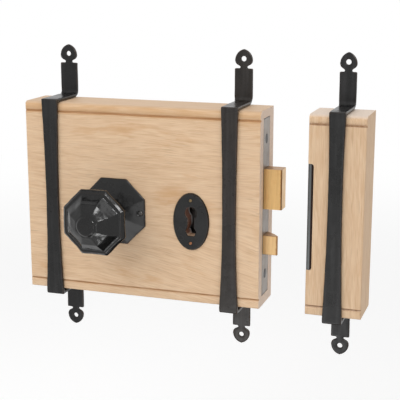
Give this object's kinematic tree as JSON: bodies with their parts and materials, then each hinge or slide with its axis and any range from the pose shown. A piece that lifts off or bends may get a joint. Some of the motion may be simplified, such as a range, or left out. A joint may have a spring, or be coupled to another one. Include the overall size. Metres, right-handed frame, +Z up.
{
  "type": "box lock",
  "caption": "Oak-cased rim lock with an octagonal knob, latch, deadbolt and iron straps, beside its matching oak keep.",
  "frame": {"origin": "centre of the oak case's back face, which lies against the door", "axes": "+X along the lock towards its bolts, +Y into the door, +Z up"},
  "size_m": [0.3175, 0.1078, 0.2774],
  "materials": {
    "oak": "planed and lightly sealed",
    "strap_iron": "satin black",
    "black_bronze": "waxed black with brown edges",
    "steel": "mill finish",
    "forend_steel": "brushed",
    "keep_steel": "dark satin",
    "screw_steel": "blackened",
    "spring_steel": "bright",
    "bolt_brass": "satin",
    "lever_brass": "stamped",
    "pin_copper": "worn copper brown"
  },
  "bodies": {
    "lock": {"oak_case": "oak", "strap_left": "strap_iron", "strap_right": "strap_iron", "rose_plate": "black_bronze", "rose_screw_left": "black_bronze", "rose_screw_right": "black_bronze", "escutcheon": "black_bronze", "escutcheon_pin_top": "pin_copper", "escutcheon_pin_bottom": "pin_copper", "lock_case": "steel", "lock_cover": "steel", "cover_screw_1": "screw_steel", "cover_screw_2": "screw_steel", "cover_screw_3": "screw_steel", "forend": "forend_steel", "forend_screw_top": "screw_steel", "forend_screw_bottom": "screw_steel", "latch_spring": "spring_steel", "lever_post": "steel", "keep_block": "oak", "keep_strap": "strap_iron", "keep_plate": "keep_steel", "keep_screw_top": "screw_steel", "keep_screw_bottom": "screw_steel"},
    "handle": {"knob": "black_bronze", "knob_grub_screw": "screw_steel", "spindle": "steel", "follower": "steel"},
    "latch": {"latch_bolt": "bolt_brass", "latch_tail": "steel", "latch_rivet": "steel"},
    "bolt": {"deadbolt": "bolt_brass", "bolt_stump": "steel"},
    "lever_1": {"lever_1": "lever_brass", "lever_spring_1": "spring_steel"},
    "lever_2": {"lever_2": "lever_brass", "lever_spring_2": "spring_steel"},
    "lever_3": {"lever_3": "lever_brass", "lever_spring_3": "spring_steel"}
  },
  "joints": [
    {"name": "knob_turn", "type": "hinge", "parent": "lock", "child": "handle", "pos_m": [-0.025, -0.02305, -0.0085], "axis": [0, 1, 0], "range_deg": [0, 40]},
    {"name": "latch_slide", "type": "slide", "parent": "lock", "child": "latch", "axis": [1, 0, 0], "range_m": [-0.01271, 0], "stiffness_N_per_m": 400, "springref_m": 0.008, "deforming": ["latch_spring"]},
    {"name": "deadbolt_slide", "type": "slide", "parent": "lock", "child": "bolt", "axis": [1, 0, 0], "range_m": [-0.0163, 0]},
    {"name": "lever_1_lift", "type": "hinge", "parent": "lock", "child": "lever_1", "pos_m": [0.015, -0.02305, 0.02], "axis": [0, -1, 0], "range_deg": [-3.5, 2.5], "stiffness_Nm_per_rad": 1, "deforming": ["lever_spring_1"]},
    {"name": "lever_2_lift", "type": "hinge", "parent": "lock", "child": "lever_2", "pos_m": [0.015, -0.02305, 0.02], "axis": [0, -1, 0], "range_deg": [-3.5, 2.5], "stiffness_Nm_per_rad": 1, "deforming": ["lever_spring_2"]},
    {"name": "lever_3_lift", "type": "hinge", "parent": "lock", "child": "lever_3", "pos_m": [0.015, -0.02305, 0.02], "axis": [0, -1, 0], "range_deg": [-3.5, 2.5], "stiffness_Nm_per_rad": 1, "deforming": ["lever_spring_3"]}
  ],
  "couplings": [
    {"joint": "latch_slide", "follows": "knob_turn", "m_per_rad": -0.018191}
  ]
}
